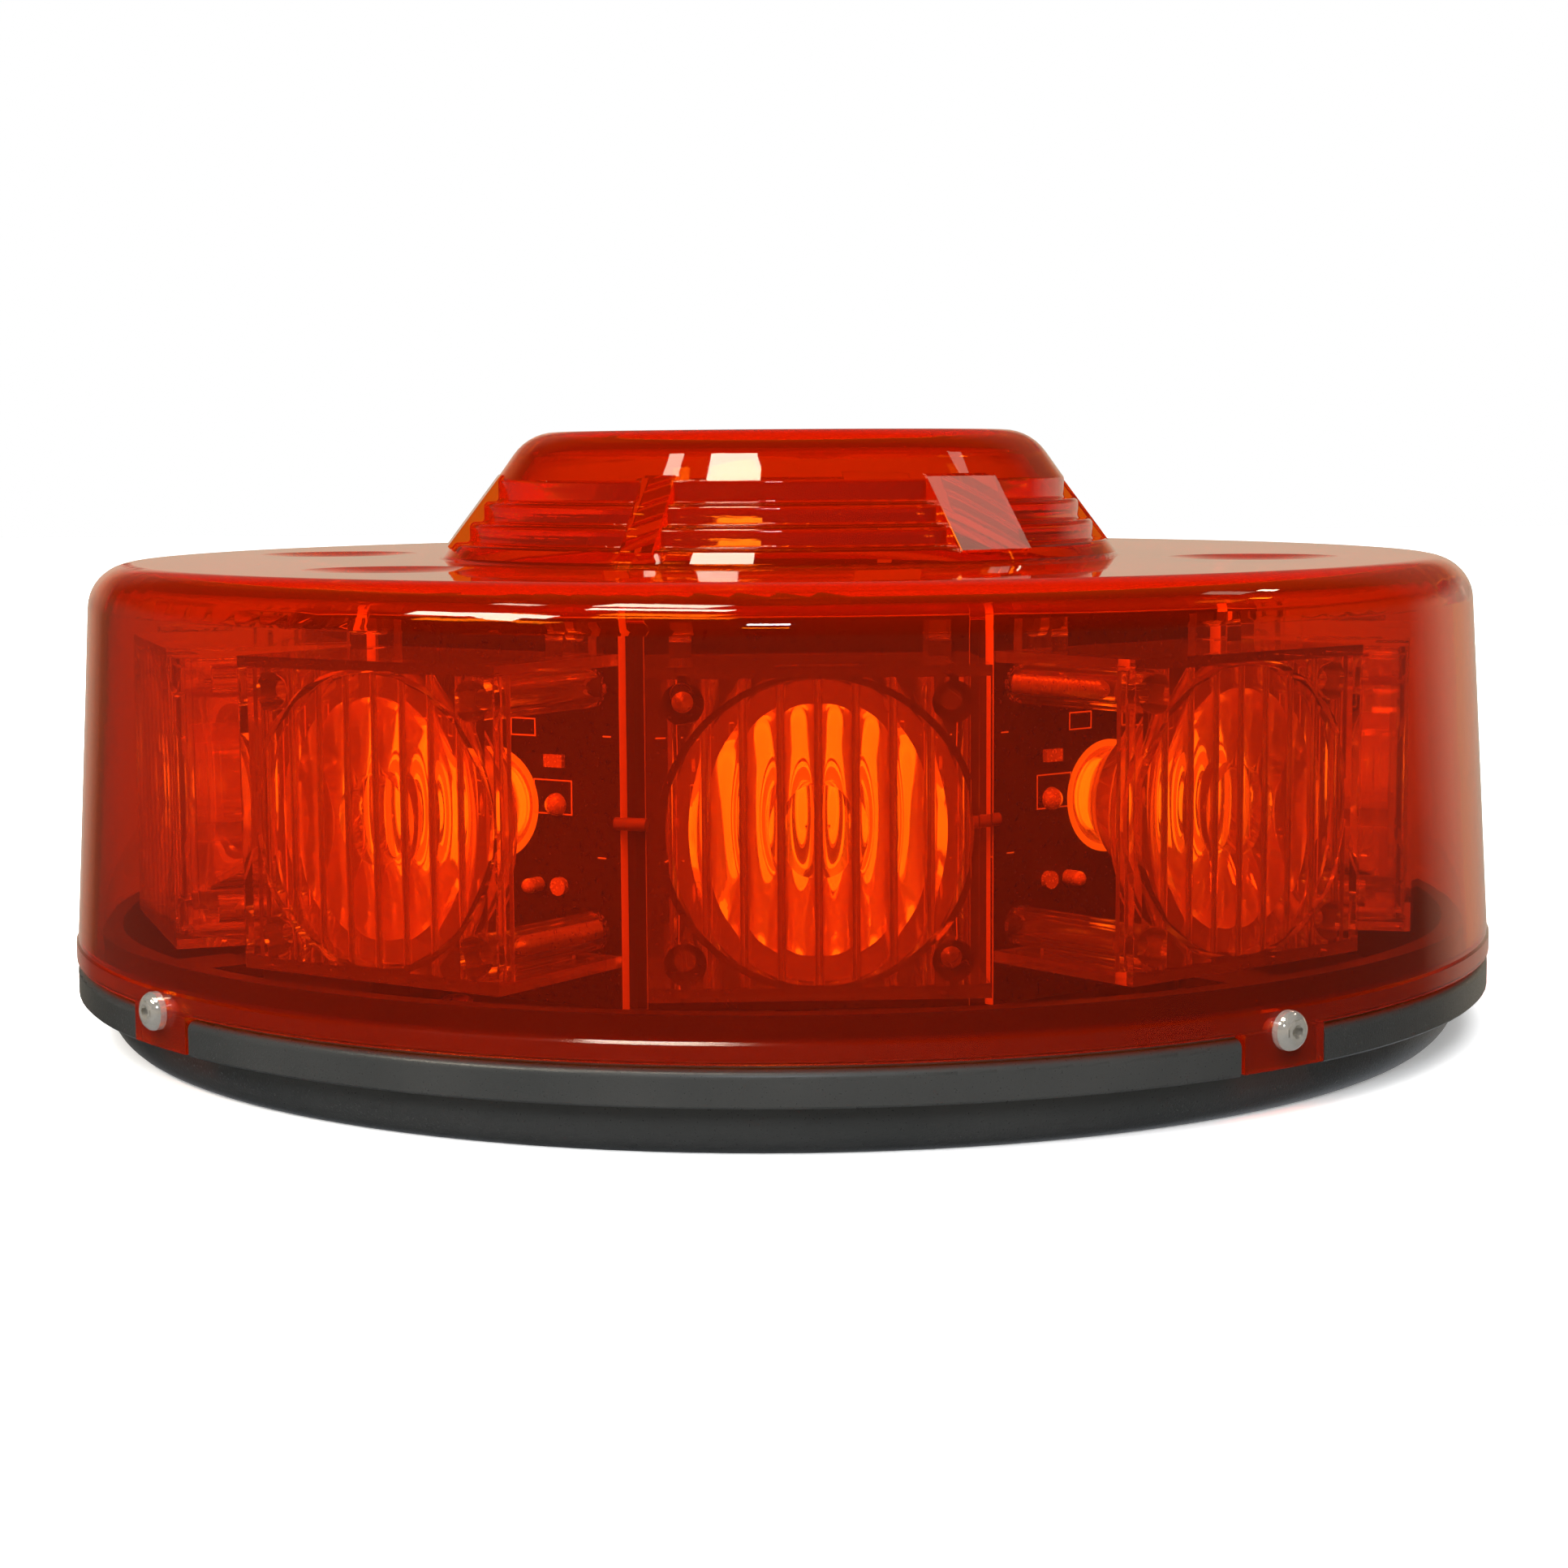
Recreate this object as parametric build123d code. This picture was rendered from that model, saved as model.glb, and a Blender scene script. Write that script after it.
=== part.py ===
"""Low round LED warning beacon: ten light heads in a ring under a clear amber dome.

Millimetres, +Z up. The origin is the centre of the underside. Head 1 faces -Y, and the
heads are numbered anticlockwise seen from above.
"""
from build123d import *
import math
import os

# --- overall sizes -------------------------------------------------------------------
lens_radius = 114.3          # outside of the dome's foot, a 9 inch beacon
total_height = 95.4
dome_wall = 3.0
fit_gap = 0.05               # between parts that touch but aren't pressed together

# --- base housing --------------------------------------------------------------------
foot_radius = 105.2          # flat underside
groove_radius = 109.4        # top of the bowl's rounded side
groove_z = 7.8
band_radius = 114.1          # rim band that carries the dome
band_top = 13.0
band_edge = 1.3              # rounding of the band's top edge
base_wall_outer = 110.0
base_wall_inner = 107.0
base_wall_top = 19.5
floor_top = 3.2
seal_thickness = 0.6

# --- dome ----------------------------------------------------------------------------
dome_bottom = band_top + seal_thickness
lip_height = 2.6             # plain lip at the very bottom of the dome
side_foot_radius = 114.0
side_top_radius = 110.6      # side line carried up to the flat top
flat_top_z = 75.2
shoulder_radius = 7.0
crown_foot_radius = 55.1
crown_foot_fillet = 1.2
crown_top_radius = 40.8      # crown's flank carried up to the full height
crown_wall = 3.92            # crown's wall measured level, 3.2 square to the flank
crown_edge = 8.5
step_bottom_z = 77.7         # stepped part of the crown's flank
step_top_z = 87.6
step_count = 3
step_ridge_radius = 0.9
step_valley_radius = 0.6
pad_azimuth = 34.0
pad_spacing = 60.0
pad_widths = (13.6, 5.4)     # wide and narrow pads, in turn
pad_top_z = 88.6
pad_proud = 0.35
pad_root = 2.6               # how far a pad runs into the crown's wall
pad_skirt = 0.8              # how far a pad runs down past the steps
pad_slope = 0.4              # height of its sloped ends
dish_azimuths = (-107.0, -50.0, 70.0)
dish_place_radius = 77.5
dish_radius = 13.5
dish_depth = 0.8

# --- dome screws and their tabs ------------------------------------------------------
tab_azimuths = (34.0, 126.0, 214.0, 306.0)
tab_width = 15.2
tab_bottom = 8.1
notch_gap = 0.45             # at each side of a tab
rim_near = 90.0              # cutters through the rim run from here
rim_far = 120.0              # to here
notch_depth_radius = 111.05
screw_z = 13.4
dome_screw_head_radius = 2.8
dome_screw_head_height = 2.1
dome_screw_radius = 1.45
dome_screw_length = 9.5
dome_screw_play = 0.25       # round the screw in its tab
boss_width = 10.0
boss_inner_radius = 99.0
boss_sink = 0.5              # into the base's wall
pilot_centre = 105.0         # blind pilot hole of a dome screw, along its own length
pilot_length = 13.0

# --- pan-head screws, as shares of the head's radius or height ------------------------
head_edge = 0.45             # height of the head's upright edge
head_bow = (0.8, 0.86)       # radius and height half way over the head's curve
head_flat = 0.35             # radius of the flat middle
recess_span = 1.25           # cross recess, tip to tip
recess_depth = 0.6
slot_width = 0.3             # share of the span
tip_span = 0.45              # the recess narrows to this share of its span
tip_width = 0.2

# --- light heads ---------------------------------------------------------------------
head_count = 10
head_pitch = 360 / head_count
board_face = 75.4            # front of the LED boards, from the axis
board_thickness = 1.6
board_width = 45.1
board_bottom = 13.8
board_top = 72.0
cover_width = 45.0
cover_height = 44.1
cover_bottom = 20.0
cover_depth = 27.1
cover_skin = 1.6             # roof and floor
cover_rim_depth = 3.3
cover_rim_width = 1.5
plate_thickness = 2.5        # over the ridges between the flutes
flute_count = 8
flute_pitch = 4.9
flute_radius = 2.95          # hollow flutes, upright
post_root = 1.0              # posts, rib and ring start this far behind the outer face
post_radius = 2.8
post_x = 17.6
post_z = 17.2                # posts above and below the head's centre
pilot_radius = 1.42
pilot_depth = 20.5
lug_width = 3.0
lug_length = 7.6
lug_height = 6.6
lug_stroke = 2.2
lug_sink = 0.3               # into the roof
lug_setback = 0.4            # from the board
rib_thickness = 1.2
rib_setback = 5.0
ring_rib_inner = 20.25
ring_rib_outer = 21.2
ring_rib_depth = 6.0         # behind the plate's outer face

# --- collimator, measured forward from the board's face -------------------------------
skirt_inner = 5.4
skirt_outer = 7.2
skirt_height = 3.0
bowl_rim_radius = 16.8
bowl_bulge = 12.95           # radius half way up the bowl's flank
flange_radius = 20.0
flange_back = 21.6
flange_front = 23.6
well_radius = 6.2
well_floor = 14.5
well_crown = 1.8
led_room_radius = 4.5
led_room_height = 6.5

# --- LED and the small parts on each board ---------------------------------------------
led_base_radius = 5.1
led_base_height = 0.9
led_dome_radius = 2.9
solder_dome_radius = 1.7
solder_dome_x = 11.4
solder_dome_z = 42.4
bullet_x = 8.0
bullet_radius = 1.1
bullet_height = 2.2
pellet_x = 12.0
pellet_radius = 1.3
pellet_height = 0.9
bullet_z = 30.8
chip_width = 3.2
chip_height = 0.8
chip_bottom = 47.8
chip_top = 49.6
link_radius = 0.9
link_length = 4.6
link_drop = 1.6              # below the heads' centres

# --- screws from behind ------------------------------------------------------------------
frame_thickness = 2.0
cover_screw_head_radius = 2.7
cover_screw_head_height = 1.7
thread_major = 1.4
thread_minor = 1.05
thread_pitch = 1.02
thread_count = 17
thread_play = 0.15           # round the screw in the board and the frame
screw_tip = 0.9

# --- board frame -------------------------------------------------------------------------
frame_bottom = 14.0
frame_top = 70.0
frame_leg_count = 5
leg_width = 10.0
foot_place_radius = 64.0
foot_pad_top = 6.0
foot_pad_radius = 4.6
foot_hole_bottom = 1.2
frame_screw_radius = 1.45
frame_screw_head = (2.6, 1.8)    # radius and height
frame_screw_length = 6.0
foot_plate = 2.0
leg_thickness = 2.2
leg_gap = 0.4                # between a leg and the outer corner line
leg_rise = 8.0               # how far a leg runs up inside the frame
foot_reach = 5.0

# --- driver board --------------------------------------------------------------------------
driver_radius = 52.0
driver_bottom = 12.0
driver_thickness = 1.6
driver_hole_radius = 9.0
standoff_place_radius = 46.0
standoff_radius = 3.5
standoff_hole_bottom = 4.0
standoff_azimuths = (0.0, 90.0, 180.0, 270.0)
driver_screw_hole = 1.6
driver_screw_length = 7.0
choke_place = (-26.0, 8.0)
choke_radius = 8.5
choke_section = 4.5
capacitor_places = ((24, 14), (27, 1), (15, 25))
capacitor_radius = 5.0
capacitor_height = 17.0
terminal_y = 16.0
terminal_ways = 3
terminal_pitch = 5.08
terminal_depth = 8.0
terminal_height = 10.0
terminal_mouth = 3.4
mouth_height = 4.0
mouth_drop = 1.5             # below the block's middle
screw_well_radius = 1.9
screw_well_depth = 3.0

# --- pattern switch --------------------------------------------------------------------------
switch_x = 0.0
switch_y = -32.0
switch_side = 8.5
switch_height = 8.0
switch_hole = 3.6
button_stem = 3.0
button_cap_radius = 3.4
button_cap_height = 3.6
button_travel = 1.5
button_clearance = 0.5
button_engagement = 3.5      # stem inside the body
button_chamfer = 0.6

# --- chips on the driver board: x, y, width, depth, height --------------------------------------
chips = ((-12, -22, 10, 6, 1.6), (14, -18, 5, 6.2, 1.6), (24, -16, 6.6, 6.1, 2.3),
         (-24, -14, 6.6, 6.1, 2.3), (-8, 24, 5, 4, 1.6), (34, -9, 3.2, 1.6, 0.8),
         (34, -13, 3.2, 1.6, 0.8), (-34, -5, 3.2, 1.6, 0.8), (12, -27, 3.2, 1.6, 0.8))

# --- underside ------------------------------------------------------------------------------
mount_circle_radius = 65.0   # 130 mm pitch circle
mount_azimuths = (54.0, 174.0, 294.0)
mount_boss_radius = 6.5
mount_boss_top = 13.0
insert_radius = 4.0
insert_bore = 2.5            # tapping size of M6
insert_length = 10.0
cable_bore = 3.5
grommet_neck = 5.5
grommet_flange = 8.0
grommet_flange_height = 2.0
grommet_play = 0.3
grommet_seat = 1.2           # depth of the seat in the underside
gasket_inner = 88.0
gasket_outer = 98.0
gasket_thickness = 1.5
gasket_play = 0.1
underside_gap = 0.2          # grommet and inserts stop this far above the underside

head_mid_z = cover_bottom + cover_height / 2
driver_top = driver_bottom + driver_thickness


# --- helpers -----------------------------------------------------------------------------------
def turned(*edges):
    """Solid of revolution about Z of a closed outline drawn in (radius, z)."""
    return revolve(Plane.XZ * make_face(Curve() + list(edges)), axis=Axis.Z)


def ring(inner, outer, bottom, top):
    """Plain ring about Z."""
    body = Pos(0, 0, (bottom + top) / 2) * Cylinder(outer, top - bottom)
    if inner > 0:
        body -= Pos(0, 0, (bottom + top) / 2) * Cylinder(inner, top - bottom + 2)
    return body


def peg(radius, x, y, bottom, top):
    """Upright cylinder."""
    return Pos(x, y, (bottom + top) / 2) * Cylinder(radius, top - bottom)


def polar(radius, azimuth):
    """Place in plan. Azimuth 0 is -Y and 90 is +X."""
    angle = math.radians(azimuth)
    return radius * math.sin(angle), -radius * math.cos(angle)


def face_out(x, y, z):
    """Location whose +Z points along -Y, the way head 1 faces."""
    return Pos(x, y, z) * Rot(90, 0, 0)


def block(width, near, far, bottom, top):
    """Box centred on x = 0, from radius near to far in front of the axis."""
    centre = Pos(0, -(near + far) / 2, (bottom + top) / 2)
    return centre * Box(width, far - near, top - bottom)


def around(shape, azimuths):
    """Copies of a shape turned about the axis."""
    return [Rot(0, 0, azimuth) * shape for azimuth in azimuths]


def cap_arc(rim_radius, rim_z, crown_z):
    """Outline arc of a spherical cap, from its rim to its crown on the axis."""
    rise = crown_z - rim_z
    ball = (rim_radius ** 2 + rise ** 2) / (2 * rise)
    lean = math.asin(rim_radius / abs(ball)) / 2
    if abs(rise) > rim_radius:
        lean = (math.pi - 2 * lean) / 2
    middle = (abs(ball) * math.sin(lean), crown_z - ball + ball * math.cos(lean))
    return ThreePointArc((rim_radius, rim_z), middle, (0, crown_z))


def cross_recess(size, depth):
    """Tapered cross for a screwdriver, opening at z = 0 and going down."""
    slots = []
    for turn in (0, 90):
        mouth = Rot(0, 0, turn) * Rectangle(size, size * slot_width)
        tip = Pos(0, 0, -depth) * Rot(0, 0, turn) * Rectangle(size * tip_span, size * tip_width)
        slots.append(loft([mouth, tip]))
    return slots[0] + slots[1]


def pan_screw(head_radius, head_height, shank_radius, length):
    """Pan-head screw with a cross recess. Its seat is z = 0 and the head is above."""
    edge = head_height * head_edge
    flat = head_radius * head_flat
    bow = (head_radius * head_bow[0], head_height * head_bow[1])
    head = turned(
        Line((0, 0), (head_radius, 0)),
        Line((head_radius, 0), (head_radius, edge)),
        ThreePointArc((head_radius, edge), bow, (flat, head_height)),
        Line((flat, head_height), (0, head_height)),
        Line((0, head_height), (0, 0)),
    )
    recess = Pos(0, 0, head_height) * cross_recess(head_radius * recess_span, head_height * recess_depth)
    return head - recess + peg(shank_radius, 0, 0, -length, 0)


# --- base --------------------------------------------------------------------------------------
def base_shell():
    """Bowl, rim band and upright wall as one turned shape."""
    bulge = (foot_radius + (groove_radius - foot_radius) * 0.71, groove_z * 0.29)
    corner = (band_radius - band_edge, band_top)
    return turned(
        Line((0, 0), (foot_radius, 0)),
        ThreePointArc((foot_radius, 0), bulge, (groove_radius, groove_z)),
        Line((groove_radius, groove_z), (band_radius - 0.3, groove_z)),
        Line((band_radius - 0.3, groove_z), (band_radius, groove_z + 0.3)),
        Line((band_radius, groove_z + 0.3), (band_radius, band_top - band_edge)),
        RadiusArc((band_radius, band_top - band_edge), corner, -band_edge),
        Line(corner, (base_wall_outer, band_top)),
        Line((base_wall_outer, band_top), (base_wall_outer, base_wall_top)),
        Line((base_wall_outer, base_wall_top), (base_wall_inner, base_wall_top)),
        Line((base_wall_inner, base_wall_top), (base_wall_inner, floor_top)),
        Line((base_wall_inner, floor_top), (0, floor_top)),
        Line((0, floor_top), (0, 0)),
    )


def base_housing():
    """Base with its bosses, pockets and the four notches for the dome's tabs."""
    body = base_shell()
    screw_boss = block(boss_width, boss_inner_radius, base_wall_inner + boss_sink, floor_top - 1,
                       base_wall_top)
    for boss in around(screw_boss, tab_azimuths):
        body += boss
    for azimuth in mount_azimuths:
        body += peg(mount_boss_radius, *polar(mount_circle_radius, azimuth), floor_top - 1, mount_boss_top)
    for azimuth in leg_azimuths():
        body += peg(foot_pad_radius, *polar(foot_place_radius, azimuth), floor_top - 1, foot_pad_top)
    for azimuth in standoff_azimuths:
        body += peg(standoff_radius, *polar(standoff_place_radius, azimuth), floor_top - 1, driver_bottom)

    notch = ring(notch_depth_radius, band_radius + 2, groove_z - 1, dome_bottom)
    notch &= block(tab_width + 2 * notch_gap, rim_near, rim_far, groove_z - 1, dome_bottom)
    pilot = face_out(0, -pilot_centre, screw_z) * Cylinder(dome_screw_radius + fit_gap, pilot_length)
    for cut in around(notch, tab_azimuths) + around(pilot, tab_azimuths):
        body -= cut
    for azimuth in mount_azimuths:
        body -= peg(insert_radius, *polar(mount_circle_radius, azimuth), -1, insert_length)
    for azimuth in leg_azimuths():
        place = polar(foot_place_radius, azimuth)
        body -= peg(frame_screw_radius, *place, foot_hole_bottom, foot_pad_top + 1)
    for azimuth in standoff_azimuths:
        place = polar(standoff_place_radius, azimuth)
        body -= peg(frame_screw_radius, *place, standoff_hole_bottom, driver_bottom + 1)
    body -= peg(grommet_neck, 0, 0, -1, floor_top + 1)
    body -= peg(grommet_flange + grommet_play, 0, 0, -1, grommet_seat)
    body -= ring(gasket_inner, gasket_outer, -1, gasket_thickness)
    return body


def dome_seal():
    """Flat seal on the rim band, cut away at the four tabs."""
    seal = ring(base_wall_outer + 0.1, band_radius - band_edge, band_top, dome_bottom)
    gap = block(tab_width + 2 * notch_gap, rim_near, rim_far, band_top - 1, dome_bottom + 1)
    for cut in around(gap, tab_azimuths):
        seal -= cut
    return seal


# --- dome --------------------------------------------------------------------------------------
def flank_radius(z):
    """Radius of the crown's outer cone at a height."""
    slope = (crown_foot_radius - crown_top_radius) / (total_height - flat_top_z)
    return crown_foot_radius - (z - flat_top_z) * slope


def rounded_corner(before, corner, after, radius):
    """The two tangent points and the middle of a fillet arc at a corner of an outline."""
    corner = Vector(*corner)
    back = (Vector(*before) - corner).normalized()
    ahead = (Vector(*after) - corner).normalized()
    half = math.radians(back.get_angle(ahead)) / 2
    centre = corner + (back + ahead).normalized() * (radius / math.sin(half))
    reach = radius / math.tan(half)
    middle = centre + (corner - centre).normalized() * radius
    points = (corner + back * reach, middle, corner + ahead * reach)
    return [(point.X, point.Y) for point in points]


def crown_steps():
    """Corners of the stepped flank from its bottom to its top, and the rounding of each."""
    rise = (step_top_z - step_bottom_z) / step_count
    corners = [(flank_radius(step_bottom_z), step_bottom_z)]
    for step in range(step_count):
        bottom = step_bottom_z + step * rise
        radius = flank_radius(bottom + rise)
        corners.append((radius, bottom))
        corners.append((radius, bottom + rise))
    return corners, [step_ridge_radius] + [step_valley_radius, step_ridge_radius] * step_count


def dome_outside():
    """Solid under the dome's outer surface."""
    side_foot = (side_foot_radius, dome_bottom + lip_height + 0.4)
    lip_top = (lens_radius, dome_bottom + lip_height)
    side_corner = (side_top_radius, flat_top_z)
    crown_foot = (crown_foot_radius, flat_top_z)
    crown_corner = (crown_top_radius, total_height)
    shoulder = rounded_corner(side_foot, side_corner, crown_foot, shoulder_radius)
    top = rounded_corner(crown_foot, crown_corner, (0, total_height), crown_edge)
    corners, roundings = crown_steps()
    return turned(
        Line((0, tab_bottom), (lens_radius, tab_bottom)),
        Line((lens_radius, tab_bottom), lip_top),
        Line(lip_top, side_foot),
        Line(side_foot, shoulder[0]),
        ThreePointArc(*shoulder),
        FilletPolyline(shoulder[2], crown_foot, *corners, top[0],
                       radius=[crown_foot_fillet] + roundings),
        ThreePointArc(*top),
        Line(top[2], (0, total_height)),
        Line((0, total_height), (0, tab_bottom)),
    )


def dome_inside():
    """Solid that fills the dome's hollow."""
    start = (lens_radius - dome_wall, tab_bottom - 1)
    lip = (lens_radius - dome_wall, dome_bottom)
    side_foot = (side_foot_radius - dome_wall, dome_bottom + lip_height)
    side_corner = (side_top_radius - dome_wall, flat_top_z - dome_wall)
    crown_foot = (flank_radius(flat_top_z - dome_wall) - crown_wall, flat_top_z - dome_wall)
    crown_corner = (flank_radius(total_height - dome_wall) - crown_wall, total_height - dome_wall)
    shoulder = rounded_corner(side_foot, side_corner, crown_foot, shoulder_radius - dome_wall)
    top = rounded_corner(crown_foot, crown_corner, (0, crown_corner[1]), crown_edge - dome_wall)
    return turned(
        Line((0, tab_bottom - 1), start),
        Line(start, lip),
        Line(lip, side_foot),
        Line(side_foot, shoulder[0]),
        ThreePointArc(*shoulder),
        Line(shoulder[2], crown_foot),
        Line(crown_foot, top[0]),
        ThreePointArc(*top),
        Line(top[2], (0, crown_corner[1])),
        Line((0, crown_corner[1]), (0, tab_bottom - 1)),
    )


def crown_pad(width):
    """Flat pad that bridges the crown's steps, for azimuth 0."""
    low = step_bottom_z - pad_skirt
    foot = flank_radius(low)
    head = flank_radius(pad_top_z)
    outline = Polyline(
        (-foot, low),
        (-foot - pad_proud, low + pad_slope),
        (-head - pad_proud, pad_top_z - pad_slope),
        (-head, pad_top_z),
        (-head + pad_root, pad_top_z),
        (-foot + pad_root, low),
        close=True,
    )
    return extrude(Plane.YZ * make_face(outline), width / 2, both=True)


def foot_gaps():
    """What is cut from the dome's foot to leave only its four screw tabs."""
    gaps = ring(lens_radius - dome_wall - 2, lens_radius + 2, tab_bottom - 1, dome_bottom)
    tab = block(tab_width, rim_near, rim_far, tab_bottom - 2, dome_bottom + 1)
    for keep in around(tab, tab_azimuths):
        gaps -= keep
    return gaps


def dish():
    """Shallow hollow in the flat top, as the solid that is cut away above z = 0."""
    return turned(
        cap_arc(dish_radius, 0, -dish_depth),
        Line((dish_radius, 0), (dish_radius, 1)),
        Line((dish_radius, 1), (0, 1)),
        Line((0, 1), (0, -dish_depth)),
    )


def dome_lens():
    """Clear dome with steps, pads, dishes and screw tabs."""
    dome = dome_outside()
    for place in range(round(360 / pad_spacing)):
        pad = crown_pad(pad_widths[place % 2])
        dome += Rot(0, 0, pad_azimuth + place * pad_spacing) * pad
    dome -= dome_inside()
    dome -= foot_gaps()
    hole = face_out(0, -lens_radius, screw_z) * Cylinder(dome_screw_radius + dome_screw_play, 4 * dome_wall)
    for cut in around(hole, tab_azimuths):
        dome -= cut
    for azimuth in dish_azimuths:
        x, y = polar(dish_place_radius, azimuth)
        dome -= Pos(x, y, flat_top_z) * dish()
    return dome


def dome_screws():
    """Screws through the dome's tabs into the base."""
    screw = pan_screw(dome_screw_head_radius, dome_screw_head_height, dome_screw_radius,
                      dome_screw_length)
    return around(face_out(0, -lens_radius, screw_z) * screw, tab_azimuths)


# --- light heads, all for azimuth 0 ------------------------------------------------------------
def cover_front():
    """Front plate with its rim and the flutes on its inner face."""
    front = board_face + cover_depth
    top = cover_bottom + cover_height
    rim_back = front - cover_rim_depth
    body = block(cover_width, rim_back, front, cover_bottom, top)
    body -= block(cover_width - 2 * cover_rim_width, rim_back - 1, front - plate_thickness,
                  cover_bottom + cover_rim_width, top - cover_rim_width)
    half = flute_pitch / 2
    ridge = front - plate_thickness + fit_gap
    flute_axis = ridge - math.sqrt(flute_radius ** 2 - half ** 2)
    slab = block(flute_count * flute_pitch, rim_back, front, cover_bottom + cover_rim_width,
                 top - cover_rim_width)
    for flute in range(flute_count):
        x = (flute - (flute_count - 1) / 2) * flute_pitch
        hollow = Pos(x, -flute_axis, head_mid_z) * Cylinder(flute_radius, cover_height)
        body -= hollow & slab
    return body


def cover_post(x, z):
    """Round post from the plate to the board, with its rib to the roof or floor."""
    front = board_face + cover_depth - post_root
    length = front - board_face
    post = face_out(x, -(board_face + front) / 2, z) * Cylinder(post_radius, length)
    outward = 1 if z > head_mid_z else -1
    edge = head_mid_z + outward * (cover_height / 2 - cover_skin / 2)
    rib = Pos(x, 0, 0) * block(rib_thickness, board_face + rib_setback, front, min(z, edge),
                               max(z, edge))
    return post + rib


def cover_lug(x):
    """U-shaped lug on the roof that keeps the cover clear of the dome."""
    near = board_face + lug_setback
    low = cover_bottom + cover_height - lug_sink
    lug = block(lug_width, near, near + lug_length, low, low + lug_height)
    middle = near + lug_length / 2
    slot_half = lug_length / 2 - lug_stroke
    floor = low + lug_stroke + slot_half
    lug -= block(lug_width + 1, middle - slot_half, middle + slot_half, floor, low + lug_height + 1)
    lug -= Pos(0, -middle, floor) * Rot(0, 90, 0) * Cylinder(slot_half, lug_width + 1)
    return Pos(x, 0, 0) * lug


def optic_cover():
    """Clear box cover of one head, open at both sides."""
    top = cover_bottom + cover_height
    back = board_face + fit_gap
    front = board_face + cover_depth
    body = cover_front()
    body += block(cover_width, back, front - post_root, top - cover_skin, top)
    body += block(cover_width, back, front - post_root, cover_bottom, cover_bottom + cover_skin)
    rib = ring(ring_rib_inner, ring_rib_outer, 0, ring_rib_depth - post_root)
    body += face_out(0, -(front - ring_rib_depth), head_mid_z) * rib
    for x in (-post_x, post_x):
        body += cover_lug(x)
        for z in (head_mid_z - post_z, head_mid_z + post_z):
            body += cover_post(x, z)
    for x in (-post_x, post_x):
        for z in (head_mid_z - post_z, head_mid_z + post_z):
            body -= face_out(x, -board_face, z) * Cylinder(pilot_radius, 2 * pilot_depth)
    return body


def collimator():
    """Bowl-shaped clear optic with a flange, a front well and a room for the LED."""
    flank_middle = (bowl_bulge, (skirt_height + flange_back) / 2)
    optic = turned(
        Line((skirt_inner, fit_gap), (skirt_outer, fit_gap)),
        Line((skirt_outer, fit_gap), (skirt_outer, skirt_height)),
        ThreePointArc((skirt_outer, skirt_height), flank_middle, (bowl_rim_radius, flange_back)),
        Line((bowl_rim_radius, flange_back), (flange_radius, flange_back)),
        Line((flange_radius, flange_back), (flange_radius, flange_front)),
        Line((flange_radius, flange_front), (well_radius, flange_front)),
        Line((well_radius, flange_front), (well_radius, well_floor)),
        cap_arc(well_radius, well_floor, well_floor + well_crown),
        Line((0, well_floor + well_crown), (0, led_room_height)),
        cap_arc(led_room_radius, skirt_height, led_room_height),
        Line((led_room_radius, skirt_height), (skirt_inner, skirt_height)),
        Line((skirt_inner, skirt_height), (skirt_inner, fit_gap)),
    )
    return face_out(0, -board_face, head_mid_z) * optic


def led_emitter():
    """LED with its round base and clear dome."""
    emitter = ring(0, led_base_radius, 0, led_base_height)
    dome = Pos(0, 0, led_base_height) * Sphere(led_dome_radius)
    dome &= ring(0, led_base_radius, led_base_height, led_base_height + led_dome_radius + 1)
    return face_out(0, -board_face, head_mid_z) * (emitter + dome)


def led_board():
    """Upright board with clearance holes for the two cover screws."""
    body = block(board_width, board_face - board_thickness, board_face, board_bottom, board_top)
    for side in (-1, 1):
        body -= face_out(side * post_x, -board_face, head_mid_z - side * post_z) * Cylinder(
            thread_major + thread_play, 4 * board_thickness)
    return body


def board_parts():
    """Solder domes, chips and the resistor rows on one board."""
    parts = []
    for side in (-1, 1):
        dome = Sphere(solder_dome_radius) & ring(0, 2 * solder_dome_radius, 0, 2 * solder_dome_radius)
        parts.append(face_out(side * solder_dome_x, -board_face, solder_dome_z) * dome)
        bullet = peg(bullet_radius, 0, 0, 0, bullet_height)
        bullet += Pos(0, 0, bullet_height) * Sphere(bullet_radius)
        parts.append(face_out(side * bullet_x, -board_face, bullet_z) * bullet)
        pellet = peg(pellet_radius, 0, 0, 0, pellet_height)
        parts.append(face_out(side * pellet_x, -board_face, bullet_z) * pellet)
        chip = block(chip_width, board_face, board_face + chip_height, chip_bottom, chip_top)
        parts.append(Pos(side * solder_dome_x, 0, 0) * chip)
    return parts


def cover_screw():
    """Thread-forming screw from behind the frame into a post, seat at z = 0."""
    reach = frame_thickness + board_thickness
    edges = [(0, 0), (thread_minor, 0)]
    depth = -reach
    edges.append((thread_minor, depth))
    for _ in range(thread_count):
        edges.append((thread_major, depth - thread_pitch * 0.5))
        depth -= thread_pitch
        edges.append((thread_minor, depth))
    edges.append((0, depth - screw_tip))
    body = turned(Polyline(*edges, close=True))
    head = pan_screw(cover_screw_head_radius, cover_screw_head_height, thread_minor, 1)
    seat = -(board_face - board_thickness - frame_thickness)
    return Pos(0, seat, 0) * Rot(-90, 0, 0) * (body + head)


def cover_screws():
    """Two screws for each head."""
    pair = [Pos(side * post_x, 0, head_mid_z - side * post_z) * cover_screw() for side in (-1, 1)]
    screws = []
    for azimuth in head_azimuths():
        screws += around(pair[0], [azimuth]) + around(pair[1], [azimuth])
    return screws


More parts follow.
